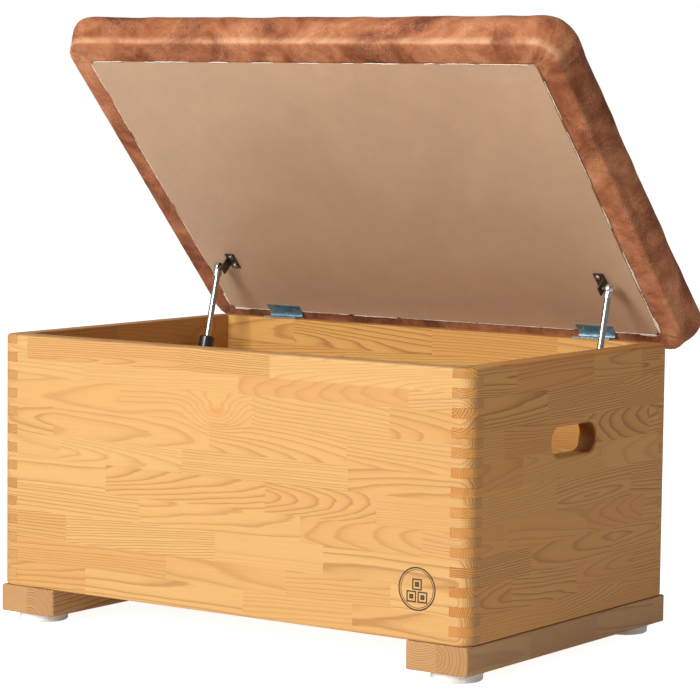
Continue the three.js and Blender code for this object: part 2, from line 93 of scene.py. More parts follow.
def add_light(name, azimuth, elevation, distance, size, watts, color=(1, 1, 1)):
    a, e = math.radians(azimuth), math.radians(elevation)
    way = Vector((math.sin(a) * math.cos(e), -math.cos(a) * math.cos(e), math.sin(e)))
    data = bpy.data.lights.new(name, "AREA")
    data.shape = "DISK"
    data.size = size
    data.energy = watts
    data.color = color
    light = bpy.data.objects.new(name, data)
    light.location = Vector((0, -0.03, 0.35)) + way * distance
    light.rotation_mode = "QUATERNION"
    light.rotation_quaternion = (-way).to_track_quat("-Z", "Y")
    scene.collection.objects.link(light)


def add_world():
    world = bpy.data.worlds.new("studio")
    world.use_nodes = True
    tree = world.node_tree
    tree.nodes.clear()
    path = tree.nodes.new("ShaderNodeLightPath")
    soft = tree.nodes.new("ShaderNodeBackground")
    soft.inputs[0].default_value = (1.0, 0.95, 0.90, 1)
    soft.inputs[1].default_value = 0.26
    seen = tree.nodes.new("ShaderNodeBackground")
    seen.inputs[0].default_value = (1, 1, 1, 1)
    seen.inputs[1].default_value = 1.0
    pick = tree.nodes.new("ShaderNodeMixShader")
    out = tree.nodes.new("ShaderNodeOutputWorld")
    tree.links.new(path.outputs["Is Camera Ray"], pick.inputs[0])
    tree.links.new(soft.outputs[0], pick.inputs[1])
    tree.links.new(seen.outputs[0], pick.inputs[2])
    tree.links.new(pick.outputs[0], out.inputs[0])
    scene.world = world


def add_floor():
    side = 40.0
    mesh = bpy.data.meshes.new("floor")
    mesh.from_pydata(
        [(-side, -side, 0), (side, -side, 0), (side, side, 0), (-side, side, 0)],
        [], [(0, 1, 2, 3)],
    )
    floor = bpy.data.objects.new("floor", mesh)
    material = bpy.data.materials.new("floor_white")
    material.use_nodes = True
    tree = material.node_tree
    tree.nodes.clear()
    paint = tree.nodes.new("ShaderNodeBsdfDiffuse")
    paint.inputs[0].default_value = (0.82, 0.82, 0.82, 1)
    glow = tree.nodes.new("ShaderNodeEmission")
    path = tree.nodes.new("ShaderNodeLightPath")
    level = tree.nodes.new("ShaderNodeMapRange")
    level.inputs["To Min"].default_value = 0.16
    level.inputs["To Max"].default_value = 0.90
    tree.links.new(path.outputs["Is Camera Ray"], level.inputs["Value"])
    tree.links.new(level.outputs[0], glow.inputs[1])
    both = tree.nodes.new("ShaderNodeAddShader")
    out = tree.nodes.new("ShaderNodeOutputMaterial")
    tree.links.new(paint.outputs[0], both.inputs[0])
    tree.links.new(glow.outputs[0], both.inputs[1])
    tree.links.new(both.outputs[0], out.inputs[0])
    mesh.materials.append(material)
    scene.collection.objects.link(floor)


add_camera()
add_world()
add_light("key", -7, 21, 4.8, 2.0, 220, (1.0, 0.985, 0.95))
add_light("top", -10, 78, 3.4, 2.2, 24)
add_floor()
scene.view_settings.view_transform = "Standard"
scene.view_settings.look = "None"


# ---- a short way to write node trees --------------------------------------------

class Nodes:
    """A material's node tree, with one method for each kind of node that is used."""

    def __init__(self, name):
        self.material = bpy.data.materials.new(name)
        self.material.use_nodes = True
        self.tree = self.material.node_tree
        self.tree.nodes.clear()
        self.place = self.add("ShaderNodeTexCoord")

    def add(self, kind, **settings):
        node = self.tree.nodes.new(kind)
        for key, value in settings.items():
            setattr(node, key, value)
        return node

    def feed(self, socket, value):
        if isinstance(value, bpy.types.NodeSocket):
            self.tree.links.new(value, socket)
        elif isinstance(value, (tuple, list)) and socket.type == "RGBA" and len(value) == 3:
            socket.default_value = (*value, 1)
        else:
            socket.default_value = value

    @property
    def position(self):
        return self.place.outputs["Object"]

    @property
    def normal(self):
        return self.place.outputs["Normal"]

    def math(self, operation, *values, clamp=False):
        node = self.add("ShaderNodeMath", operation=operation, use_clamp=clamp)
        for socket, value in zip(node.inputs, values):
            self.feed(socket, value)
        return node.outputs[0]

    def vector(self, operation, *values):
        node = self.add("ShaderNodeVectorMath", operation=operation)
        for socket, value in zip(node.inputs, values):
            self.feed(socket, value)
        return node.outputs["Value" if operation in ("DOT_PRODUCT", "LENGTH") else "Vector"]

    def axes(self, vector):
        node = self.add("ShaderNodeSeparateXYZ")
        self.feed(node.inputs[0], vector)
        return list(node.outputs)

    def point(self, x, y, z):
        node = self.add("ShaderNodeCombineXYZ")
        for socket, value in zip(node.inputs, (x, y, z)):
            self.feed(socket, value)
        return node.outputs[0]

    def colors(self, color):
        node = self.add("ShaderNodeSeparateColor")
        self.feed(node.inputs[0], color)
        return list(node.outputs)

    def noise(self, where, scale, detail=2.0, rough=0.5, distortion=0.0, color=False):
        node = self.add("ShaderNodeTexNoise")
        self.feed(node.inputs["Vector"], where)
        node.inputs["Scale"].default_value = scale
        node.inputs["Detail"].default_value = detail
        node.inputs["Roughness"].default_value = rough
        node.inputs["Distortion"].default_value = distortion
        return node.outputs["Color" if color else "Fac"]

    def white(self, where):
        node = self.add("ShaderNodeTexWhiteNoise", noise_dimensions="3D")
        self.feed(node.inputs["Vector"], where)
        return self.colors(node.outputs["Color"])

    def ramp(self, value, stops, interpolation="LINEAR"):
        node = self.add("ShaderNodeValToRGB")
        self.feed(node.inputs[0], value)
        bar = node.color_ramp
        bar.interpolation = interpolation
        while len(bar.elements) > 1:
            bar.elements.remove(bar.elements[-1])
        for i, (at, color) in enumerate(stops):
            stop = bar.elements[0] if i == 0 else bar.elements.new(at)
            stop.position = at
            if not isinstance(color, (tuple, list)):
                color = (color, color, color)
            stop.color = (*color, 1) if len(color) == 3 else color
        return node.outputs

    def span(self, value, low, high, to_low=0.0, to_high=1.0, smooth=False):
        node = self.add("ShaderNodeMapRange", clamp=True)
        if smooth:
            node.interpolation_type = "SMOOTHSTEP"
        for socket, item in zip(node.inputs, (value, low, high, to_low, to_high)):
            self.feed(socket, item)
        return node.outputs[0]

    def mix(self, share, first, second, blend="MIX"):
        node = self.add("ShaderNodeMix", data_type="RGBA", blend_type=blend)
        node.clamp_factor = True
        self.feed(node.inputs[0], share)
        self.feed(node.inputs[6], first)
        self.feed(node.inputs[7], second)
        return node.outputs[2]

    def scaled(self, color, factor):
        return self.vector("MULTIPLY", color, self.point(factor, factor, factor))

    def bump(self, height, distance, strength=1.0, under=None):
        node = self.add("ShaderNodeBump")
        node.inputs["Strength"].default_value = strength
        node.inputs["Distance"].default_value = distance
        self.feed(node.inputs["Height"], height)
        if under is not None:
            self.feed(node.inputs["Normal"], under)
        return node.outputs[0]

    def finish(self, **inputs):
        shader = self.add("ShaderNodeBsdfPrincipled")
        out = self.add("ShaderNodeOutputMaterial")
        for key, value in inputs.items():
            self.feed(shader.inputs[key.replace("_", " ")], value)
        self.tree.links.new(shader.outputs[0], out.inputs[0])
        return self.material


# ---- wood -----------------------------------------------------------------------

# Each row of boards from the top down: its height in mm, the places of its butt joints along
# the panel in mm from the middle, and how light it is.
FRONT_ROWS = [
    (26, (-290, -60, 64), 0.62), (22, (-205, 20, 250), 0.45), (33, (-150, 40, 226), 0.50),
    (34, (-250, -20, 170), 0.40), (28, (-240, -58, 172), 0.62), (34, (-170, 60, 210), 0.55),
    (30, (-120, 108, 270), 0.48), (33, (-230, -10, 140), 0.60), (28, (-80, 90, 230), 0.45),
    (32, (-200, 30, 180), 0.55),
]
BACK_ROWS = [
    (32, (-200, 10, 190), 0.55), (36, (-120, 90, 240), 0.45), (31, (-260, -40, 150), 0.60),
    (34, (-160, 60, 230), 0.48), (38, (-220, 0, 170), 0.58), (33, (-90, 110, 260), 0.44),
    (34, (-240, -30, 140), 0.56), (30, (-140, 70, 220), 0.50), (32, (-190, 20, 180), 0.60),
]
END_ROWS = [
    (33, (-125, 40, 150), 0.50), (36, (-60, 110, 210), 0.60), (34, (-150, 20, 170), 0.42),
    (31, (-110, 60, 190), 0.56), (38, (-40, 130, 210), 0.50), (33, (-140, 30, 160), 0.60),
    (31, (-90, 90, 200), 0.44), (34, (-130, 10, 140), 0.56), (30, (-30, 120, 200), 0.50),
]
BOTTOM_ROWS = [(44, (-150, 60, 200), 0.5)] * 10
FRONT_KNOTS = [(-9, 70, 20)]   # along the panel, down from the rim and size, in mm
SKID_ROWS = [(40, (-90, 60, 190), 0.40), (40, (-20, 118, 205), 0.62)]

PINE = {
    "pale": (0.630, 0.368, 0.130), "warm": (0.580, 0.290, 0.086), "late": (0.400, 0.180, 0.048),
    "end": (0.90, 0.82, 0.78),
}
END_PINE = {
    "pale": (0.650, 0.325, 0.086), "warm": (0.590, 0.250, 0.052), "late": (0.310, 0.110, 0.020),
    "end": (0.90, 0.82, 0.78),
}
BACK_PINE = {
    "pale": (0.710, 0.392, 0.110), "warm": (0.650, 0.302, 0.068), "late": (0.370, 0.145, 0.032),
    "end": (0.90, 0.82, 0.78),
}
SKID_PINE = {
    "pale": (0.560, 0.325, 0.135), "warm": (0.450, 0.230, 0.084), "late": (0.310, 0.145, 0.050),
    "end": (0.92, 0.88, 0.86),
}


SLOT_SHADE_TINT = (0.42, 0.31, 0.13)    # painted shade: darkens the far inside end of a hand slot, which lies in shadow
RIM_REFLECTION_TINT = (0.80, 0.84, 1.12)  # painted reflection: greyish blue tint on the rim's upward faces
PANEL_REACH = 0.7       # a span longer than any panel, which the places of the butt joints are shares of
STRETCH = 0.15          # how far slow changes are drawn out along the grain
RING_SHADE = [           # how dark a ring is from its inner edge (0) to its outer edge (1)
    (0.0, 0.12), (0.08, 0.0), (0.52, 0.08), (0.74, 0.42), (0.86, 1.0), (0.94, 0.80), (1.0, 0.12),
]


def wood(name, grain, rows_axis, start, rows, colors, seed, knots=(), lines=1.0, slot=None, face=0.0):
    """Solid wood in glued-up rows. Grain runs along one axis and the rows stack along another.

    The board that a point is in is looked up from rows, counted from start. Growth rings are circles
    round that board's own tilted centre line. face is where the panel's outer face lies on the third
    axis, lines scales the contrast of the rings, and slot is a hand slot whose far inside end gets
    painted shade. On panels whose rows stack upward, the upward faces get a painted reflection tint.
    """
    n = Nodes(name)
    xyz = n.axes(n.position)
    normals = n.axes(n.normal)
    depth_axis = 3 - grain - rows_axis
    middle = BODY_MID_Y if grain == 1 else 0.0
    u = n.math("SUBTRACT", xyz[grain], middle)
    v = n.math("SUBTRACT", start, xyz[rows_axis])
    w = xyz[depth_axis]

    total = sum(row[0] for row in rows) * MM
    reach = PANEL_REACH
    along = n.math("ADD", n.math("DIVIDE", u, reach), 0.5)
    down = n.math("DIVIDE", v, total)
    joints, marks, top = [], [], 0.0
    for i, (height, cuts, light) in enumerate(rows):
        at = top / (total / MM)
        code = [cut * MM / reach + 0.5 for cut in cuts]
        joints.append((at, (*code, 1)))
        centre = (top + height / 2) * MM / total
        marks.append((at, (centre, light, (i + 1) / 20, 1)))
        top += height
    cut_a, cut_b, cut_c = n.colors(n.ramp(down, joints, "CONSTANT")[0])
    centre, light, row_id = n.colors(n.ramp(down, marks, "CONSTANT")[0])
    board = n.math("ADD", n.math("GREATER_THAN", along, cut_a),
                   n.math("ADD", n.math("GREATER_THAN", along, cut_b),
                          n.math("GREATER_THAN", along, cut_c)))
    code = n.point(n.math("MULTIPLY", row_id, 37.0), n.math("MULTIPLY", board, 5.3), seed)
    r1, r2, r3 = n.white(code)
    r4, r5, r6 = n.white(n.vector("ADD", code, (11.7, 3.1, 8.9)))
    r7, r8, r9 = n.white(n.vector("ADD", code, (2.3, 17.9, 4.7)))

    # the trunk's centre line for this board, tilted so that the rings run out in arches
    shift = n.vector("MULTIPLY", n.point(r7, r8, r9), (60.0, 60.0, 60.0))
    here = n.vector("ADD", n.point(n.math("MULTIPLY", u, STRETCH), v, w), shift)
    slow = n.colors(n.noise(here, 11.0, 2.0, 0.5, color=True))
    fast = n.colors(n.noise(here, 70.0, 2.0, 0.55, color=True))
    wave_v = n.math("ADD", n.math("MULTIPLY", n.math("SUBTRACT", slow[0], 0.5), 0.020),
                    n.math("MULTIPLY", n.math("SUBTRACT", fast[0], 0.5), 0.0026))
    wave_w = n.math("ADD", n.math("MULTIPLY", n.math("SUBTRACT", slow[1], 0.5), 0.022),
                    n.math("MULTIPLY", n.math("SUBTRACT", fast[1], 0.5), 0.0016))
    from_v = n.math("MULTIPLY", n.math("SUBTRACT", r1, 0.5), 0.060)
    from_w = n.math("MULTIPLY", n.math("SUBTRACT", r2, 0.5), 0.150)
    run_v = n.math("MULTIPLY", n.math("MULTIPLY", n.math("SUBTRACT", r3, 0.5), 0.07), u)
    run_w = n.math("MULTIPLY", n.math("MULTIPLY", n.math("SUBTRACT", r4, 0.5), 0.15), u)
    dv = n.math("ADD", n.math("SUBTRACT", v, n.math("MULTIPLY", centre, total)),
                n.math("ADD", from_v, n.math("ADD", run_v, wave_v)))
    dw = n.math("ADD", n.math("SUBTRACT", w, face),
                n.math("ADD", from_w, n.math("ADD", run_w, wave_w)))
    radius = n.math("SQRT", n.math("ADD", n.math("MULTIPLY", dv, dv), n.math("MULTIPLY", dw, dw)))
    spacing = n.math("ADD", 0.0015, n.math("MULTIPLY", n.math("POWER", r5, 1.5), 0.0031))
    rings = n.math("DIVIDE", radius, spacing)
    uneven = n.noise(n.point(n.math("MULTIPLY", radius, 160.0), r6, seed), 1.0, 1.0)
    rings = n.math("ADD", rings, n.math("MULTIPLY", uneven, 1.3))
    eyes = []
    for knot_u, knot_down, size in knots:
        du = n.math("MULTIPLY", n.math("SUBTRACT", u, knot_u * MM), 0.62)
        dk = n.math("SUBTRACT", v, knot_down * MM)
        away = n.math("ADD", n.math("MULTIPLY", du, du), n.math("MULTIPLY", dk, dk))
        pull = n.math("EXPONENT", n.math("MULTIPLY", away, -1.0 / (size * MM) ** 2))
        rings = n.math("ADD", rings, n.math("MULTIPLY", pull, 5.0))
        eyes.append(n.math("POWER", pull, 9.0))
    phase = n.math("FRACT", rings)
    late = n.ramp(phase, RING_SHADE)[0]

    # fibres run along the grain on the sides and show as speckle on the cut ends
    fibre_at = n.point(n.math("MULTIPLY", u, 14.0), n.math("MULTIPLY", v, 620.0),
                       n.math("MULTIPLY", w, 620.0))
    fibre = n.noise(n.vector("ADD", fibre_at, shift), 1.0, 3.0, 0.6)
    cloudy = n.noise(here, 20.0, 3.0, 0.55)
    end_grain = n.span(n.math("ABSOLUTE", normals[grain]), 0.55, 0.92, smooth=True)

    tone = n.math("ADD", n.math("MULTIPLY", r6, 0.70), n.math("MULTIPLY", light, 0.55))
    base = n.mix(tone, colors["warm"], colors["pale"])
    pinkish = n.span(r3, 0.72, 1.0, 0.0, 0.30)
    warm = colors["warm"]
    base = n.mix(pinkish, base, (warm[0] * 1.02, warm[1] * 0.93, warm[2] * 1.12))
    contrast = n.math("ADD", 0.24 * lines, n.math("MULTIPLY", n.math("POWER", r9, 1.3), 0.60 * lines))
    contrast = n.math("ADD", contrast, n.math("MULTIPLY", end_grain, 0.10), clamp=True)
    grained = n.mix(n.math("MULTIPLY", late, contrast), base, colors["late"])
    for eye in eyes:
        grained = n.mix(n.math("MULTIPLY", eye, 0.65), grained, (0.62, 0.25, 0.07))
    uneven_tone = n.math("ADD", n.math("MULTIPLY", fibre, 0.19), n.math("MULTIPLY", cloudy, 0.07))
    shade = n.math("ADD", 0.87, uneven_tone)
    body = n.scaled(grained, shade)
    ends = n.mix(1.0, body, colors["end"], "MULTIPLY")
    body = n.mix(end_grain, body, ends)
    # painted shade: the cut faces inside each hand slot darken towards its far end, as shadow would
    if slot:
        slot_middle, slot_below, half_length, half_height = slot
        past_middle = n.math("SUBTRACT", u, slot_middle)
        past_height = n.math("ABSOLUTE", n.math("SUBTRACT", v, slot_below))
        cut_face = n.span(n.math("ABSOLUTE", normals[depth_axis]), 0.8, 0.5)
        in_height = n.span(past_height, half_height + 0.004, half_height + 0.002)
        inside = n.math("MULTIPLY", cut_face, in_height)
        far = n.span(past_middle, half_length * 0.30, half_length * 0.62, smooth=True)
        near = n.span(past_middle, half_length + 0.006, half_length + 0.003)
        slot_shade = n.math("MULTIPLY", inside, n.math("MULTIPLY", far, near))
        body = n.mix(slot_shade, body, n.mix(1.0, body, SLOT_SHADE_TINT, "MULTIPLY"))
    # painted reflection: upward faces, such as the rim's top, are tinted greyish blue like a reflection
    # of the pale surroundings
    if rows_axis == 2:
        rim = n.span(normals[2], 0.75, 0.98, 0.0, 0.55)
        body = n.mix(rim, body, n.mix(1.0, body, RIM_REFLECTION_TINT, "MULTIPLY"))

    height = n.math("ADD", n.math("MULTIPLY", late, contrast), n.math("MULTIPLY", fibre, 0.22))
    relief = n.bump(height, 0.00055, 0.85)
    rough = n.math("ADD", 0.40, n.math("MULTIPLY", fibre, 0.16))
    return n.finish(Base_Color=body, Roughness=rough, Normal=relief, Specular_IOR_Level=0.42)


# ---- other materials ------------------------------------------------------------

def hardboard():
    n = Nodes("hardboard")
    clouds = n.noise(n.position, 7.0, 5.0, 0.62, 0.6)
    mottle = n.noise(n.position, 46.0, 4.0, 0.6)
    fleck = n.noise(n.position, 620.0, 2.0, 0.6)
    color = n.ramp(clouds, [(0.28, (0.470, 0.303, 0.196)), (0.50, (0.500, 0.325, 0.210)),
                            (0.72, (0.530, 0.350, 0.224))])[0]
    color = n.scaled(color, n.span(mottle, 0.25, 0.75, 0.97, 1.03))
    color = n.scaled(color, n.span(fleck, 0.25, 0.75, 0.96, 1.04))
    relief = n.bump(n.math("ADD", fleck, n.math("MULTIPLY", mottle, 2.0)), 0.00012, 0.5)
    rough = n.span(clouds, 0.3, 0.7, 0.42, 0.56)
    return n.finish(Base_Color=color, Roughness=rough, Normal=relief, Specular_IOR_Level=0.35)


def suede():
    n = Nodes("suede_cloth")
    clouds = n.noise(n.position, 11.0, 7.0, 0.62, 1.4)
    patch = n.noise(n.vector("ADD", n.position, (3.1, 7.7, 1.9)), 26.0, 5.0, 0.66, 0.8)
    field = n.math("ADD", n.math("MULTIPLY", clouds, 0.66), n.math("MULTIPLY", patch, 0.34))
    color = n.ramp(field, [(0.36, (0.130, 0.038, 0.018)), (0.44, (0.235, 0.074, 0.032)),
                           (0.51, (0.350, 0.122, 0.054)), (0.59, (0.460, 0.185, 0.088)),
                           (0.67, (0.560, 0.262, 0.140))])[0]
    nap = n.noise(n.position, 420.0, 3.0, 0.62)
    fleck = n.noise(n.position, 900.0, 1.0, 0.5)
    where = n.span(n.noise(n.position, 19.0, 3.0, 0.6), 0.46, 0.60)
    light = n.math("MULTIPLY", n.span(fleck, 0.57, 0.68), n.math("MULTIPLY", where, 0.45))
    color = n.mix(light, color, (0.80, 0.46, 0.29))
    dark = n.math("MULTIPLY", n.span(nap, 0.42, 0.30), 0.45)
    color = n.mix(dark, color, (0.10, 0.028, 0.016))
    # painted highlight: a pale band along the ridge where the cloth turns under the lid, strongest on
    # the front side
    x, y, z = n.axes(n.position)
    dy, dz = n.math("SUBTRACT", y, HINGE.y), n.math("SUBTRACT", z, HINGE.z)
    rise = n.math("ADD", n.math("MULTIPLY", dz, math.cos(OPEN)), HINGE.z - RIM_Z)
    over_rim = n.math("ADD", n.math("MULTIPLY", dy, math.sin(OPEN)), rise)
    from_hinge = n.math("SUBTRACT", n.math("MULTIPLY", dy, math.cos(OPEN)),
                        n.math("MULTIPLY", dz, math.sin(OPEN)))
    ridge = n.math("MULTIPLY", n.span(over_rim, 0.0052, 0.0085, smooth=True),
                   n.span(over_rim, 0.0180, 0.0085, smooth=True))
    ridge = n.math("MULTIPLY", ridge, n.span(from_hinge, -0.405, -0.430, 0.12, 1.0))
    ridge_highlight = n.math("MULTIPLY", ridge, n.span(clouds, 0.40, 0.60, 0.12, 0.62))
    color = n.mix(ridge_highlight, color, (0.78, 0.46, 0.27))
    relief = n.bump(nap, 0.0009, 0.55)
    relief = n.bump(patch, 0.004, 0.5, relief)
    return n.finish(
        Base_Color=color, Roughness=n.span(patch, 0.3, 0.7, 0.62, 0.84), Normal=relief,
        Specular_IOR_Level=0.12, Sheen_Weight=0.03, Sheen_Roughness=0.5, Sheen_Tint=(1.0, 0.70, 0.55),
    )


def raw_edge():
    n = Nodes("raw_edge")
    thread = n.noise(n.position, 900.0, 2.0, 0.6)
    color = n.ramp(thread, [(0.35, (0.66, 0.54, 0.42)), (0.62, (0.92, 0.86, 0.76))])[0]
    return n.finish(Base_Color=color, Roughness=0.85, Normal=n.bump(thread, 0.0006, 0.6))


def foam():
    n = Nodes("foam")
    cells = n.noise(n.position, 500.0, 2.0, 0.7)
    color = n.ramp(cells, [(0.3, (0.72, 0.66, 0.50)), (0.7, (0.86, 0.82, 0.68))])[0]
    return n.finish(Base_Color=color, Roughness=0.95, Normal=n.bump(cells, 0.0006, 0.7))


def plywood():
    n = Nodes("plywood")
    x, y, z = n.axes(n.position)
    grain = n.noise(n.point(n.math("MULTIPLY", x, 9.0), n.math("MULTIPLY", y, 160.0),
                            n.math("MULTIPLY", z, 160.0)), 1.0, 4.0, 0.6)
    color = n.ramp(grain, [(0.3, (0.50, 0.34, 0.18)), (0.7, (0.70, 0.53, 0.33))])[0]
    return n.finish(Base_Color=color, Roughness=0.6, Normal=n.bump(grain, 0.0003, 0.5))


def zinc(name, light, tint, rough, metal=0.95):
    n = Nodes(name)
    spangle = n.noise(n.position, 240.0, 3.0, 0.6)
    dull = n.noise(n.position, 75.0, 3.0, 0.6)
    bright = tuple(min(1, c * 1.12) for c in light)
    color = n.ramp(dull, [(0.32, tint), (0.55, light), (0.75, bright)])[0]
    color = n.scaled(color, n.span(spangle, 0.2, 0.8, 0.90, 1.10))
    return n.finish(
        Base_Color=color, Metallic=metal,
        Roughness=n.span(spangle, 0.25, 0.75, rough - 0.07, rough + 0.10),
        Normal=n.bump(spangle, 0.00008, 0.5),
    )


def chrome():
    n = Nodes("chrome_rod")
    x, y, z = n.axes(n.position)
    wiped = n.noise(n.point(n.math("MULTIPLY", x, 60.0), n.math("MULTIPLY", y, 60.0),
                            n.math("MULTIPLY", z, 900.0)), 1.0, 2.0, 0.5)
    color = n.ramp(wiped, [(0.3, (0.40, 0.41, 0.40)), (0.7, (0.48, 0.49, 0.48))])[0]
    return n.finish(Base_Color=color, Metallic=1.0, Roughness=n.span(wiped, 0.3, 0.7, 0.26, 0.30))


def dark(name, color, rough, metal):
    n = Nodes(name)
    grain = n.noise(n.position, 700.0, 3.0, 0.6)
    worn = n.noise(n.position, 90.0, 4.0, 0.65)
    light = tuple(c * 2.1 + 0.012 for c in color)
    shown = n.mix(n.span(worn, 0.52, 0.72, 0.0, 0.5), color, light)
    shown = n.scaled(shown, n.span(grain, 0.2, 0.8, 0.85, 1.15))
    return n.finish(
        Base_Color=shown, Metallic=metal, Roughness=n.span(worn, 0.3, 0.7, rough, rough + 0.14),
        Normal=n.bump(grain, 0.00008, 0.5),
    )


def plastic():
    n = Nodes("white_plastic")
    dust = n.noise(n.position, 60.0, 5.0, 0.65)
    grain = n.noise(n.position, 900.0, 2.0, 0.5)
    color = n.ramp(dust, [(0.30, (0.72, 0.70, 0.70)), (0.55, (0.84, 0.83, 0.82)),
                          (0.8, (0.89, 0.89, 0.88))])[0]
    return n.finish(
        Base_Color=color, Roughness=n.span(dust, 0.3, 0.7, 0.52, 0.38),
        Normal=n.bump(grain, 0.00006, 0.4),
        Subsurface_Weight=0.08, Subsurface_Scale=0.004,
    )


def burnt():
    n = Nodes("burnt_mark")
    char = n.noise(n.position, 500.0, 4.0, 0.65)
    color = n.ramp(char, [(0.30, (0.030, 0.017, 0.012)), (0.60, (0.055, 0.030, 0.018)),
                          (0.78, (0.160, 0.080, 0.035))])[0]
    return n.finish(Base_Color=color, Roughness=0.75, Normal=n.bump(char, 0.0002, 0.6))


def assign(material, *names):
    for name in names:
        slots = nodes[name].material_slots
        if not slots:
            nodes[name].data.materials.append(material)
        for slot in slots:
            slot.material = material


assign(wood("pine_front", 0, 2, RIM_Z, FRONT_ROWS, PINE, 1.0, FRONT_KNOTS, face=FRONT_Y), "front_panel")
assign(wood("pine_back", 0, 2, RIM_Z, BACK_ROWS, BACK_PINE, 4.0, face=BACK_Y), "back_panel")
assign(wood("pine_right", 1, 2, RIM_Z, END_ROWS, END_PINE, 2.0, lines=1.1, slot=HAND_SLOT,
            face=BODY_X), "right_end_panel")
assign(wood("pine_left", 1, 2, RIM_Z, END_ROWS[::-1], PINE, 3.0, slot=HAND_SLOT,
            face=-BODY_X), "left_end_panel")
assign(wood("pine_floor", 0, 1, BODY_MID_Y + 0.22, BOTTOM_ROWS, PINE, 6.0), "bottom_panel")
assign(wood("skid_pine_right", 1, 0, BODY_X, SKID_ROWS, SKID_PINE, 7.0), "right_skid")
assign(wood("skid_pine_left", 1, 0, -BODY_X + 0.08, SKID_ROWS, SKID_PINE, 8.0), "left_skid")
steel = zinc("zinc_steel", (0.35, 0.47, 0.53), (0.22, 0.31, 0.37), 0.38)
screw_steel = zinc("zinc_screw", (0.55, 0.58, 0.60), (0.35, 0.38, 0.40), 0.30)
socket_steel = zinc("steel_socket", (0.60, 0.60, 0.60), (0.36, 0.36, 0.37), 0.28)
black_tube = dark("black_tube", (0.014, 0.014, 0.016), 0.26, 0.0)
black_socket = dark("black_socket", (0.018, 0.018, 0.020), 0.42, 0.0)
dark_steel = dark("dark_bracket", (0.105, 0.080, 0.062), 0.36, 0.75)
white = plastic()
lining = hardboard()
assign(lining, "lid_lining")
assign(plywood(), "lid_board")
assign(foam(), "lid_foam")
assign(white, *(f"glide_{a}_{b}" for a in ("front", "back") for b in ("left", "right")))
chrome_steel = chrome()
for side in ("left", "right"):
    assign(steel, f"{side}_hinge_box_leaf", f"{side}_hinge_lid_leaf", f"{side}_hinge_pin")
    assign(chrome_steel, f"{side}_strut_rod")
    assign(black_tube, f"{side}_strut_tube")
    assign(socket_steel, f"{side}_strut_upper_socket")
    assign(black_socket, f"{side}_strut_lower_socket")
    assign(dark_steel, f"{side}_lid_bracket", f"{side}_box_bracket")
assign(screw_steel, *(name for name in nodes if "screw" in name))

# soft shading over the fine facets of round parts, with the real edges kept crisp
for name, node in nodes.items():
    if any(word in name for word in ("strut", "pin", "glide", "leaf", "bracket", "screw")):
        node.data.shade_smooth()
        node.data.set_sharp_from_angle(angle=math.radians(35))


# ---- upholstered lid cover ------------------------------------------------------

COVER_X, COVER_Y, COVER_MID = 354.0, 251.5, -1.5   # half sizes of the pad in mm, lid shut
HOLE_X, HOLE_Y, HOLE_MID = 316.2, 214.7, -0.5      # the opening that the lining sits in
CORNER = 36.0
HOLE_CORNER = 6.8
LONG_STEPS, SHORT_STEPS, ARC_STEPS = 84, 60, 12


def outline():
    """Points round a rectangle: (share along x, share along y, normal x, normal y)."""
    points = []
    corners = [(1, -1, -90), (1, 1, 0), (-1, 1, 90), (-1, -1, 180)]
    for i, (sx, sy, start) in enumerate(corners):
        for k in range(ARC_STEPS):
            a = math.radians(start + 90.0 * k / ARC_STEPS)
            points.append((sx, sy, math.cos(a), math.sin(a)))
        nx, ny, _ = corners[(i + 1) % 4]
        steps = SHORT_STEPS if nx == sx else LONG_STEPS
        a = math.radians(start + 90)
        for k in range(steps):
            t = k / steps
            points.append((sx + (nx - sx) * t, sy + (ny - sy) * t, math.cos(a), math.sin(a)))
    return np.array(points)


def ring(points, half_x, half_y, r, mid_y, z):
    x = points[:, 0] * (half_x - r) + points[:, 2] * r
    y = points[:, 1] * (half_y - r) + points[:, 3] * r + mid_y
    return np.stack([x, y, np.full(len(x), z)], 1)


# (share of the way in from the edge to the opening, height over the rim in mm)
UNDERSIDE = [
    (1.0, 6.75), (1.0, 6.1), (0.99, 5.5), (0.965, 5.15), (0.92, 5.0), (0.84, 5.05), (0.74, 5.1),
    (0.63, 5.1),
    (0.52, 5.1), (0.42, 5.15), (0.34, 5.3), (0.29, 5.55), (0.255, 6.2), (0.232, 7.4),
]
# (mm in from the edge, height over the rim in mm)
SIDE = [
    (8.2, 9.2), (7.2, 12.0), (5.7, 15.5), (4.0, 19.5), (2.4, 24.0), (1.1, 28.5), (0.3, 33.0),
    (0.0, 37.5),
    (0.6, 42.0), (2.2, 46.3), (5.0, 50.2), (9.0, 53.6), (14.2, 56.2), (21.0, 58.0), (29.0, 59.0),
]
CROWN = 3.4


def cover_rings(points):
    rings = []
    for k, z in UNDERSIDE:
        half_x = COVER_X + (HOLE_X - COVER_X) * k
        half_y = COVER_Y + (HOLE_Y - COVER_Y) * k
        mid = COVER_MID + (HOLE_MID - COVER_MID) * k
        r = max(HOLE_CORNER, CORNER - (COVER_X - half_x) * 0.80)
        rings.append(ring(points, half_x, half_y, r, mid, z))
    for inset, z in SIDE:
        r = max(24.0, CORNER - inset * 0.8)
        rings.append(ring(points, COVER_X - inset, COVER_Y - inset, r, COVER_MID, z))
    return rings


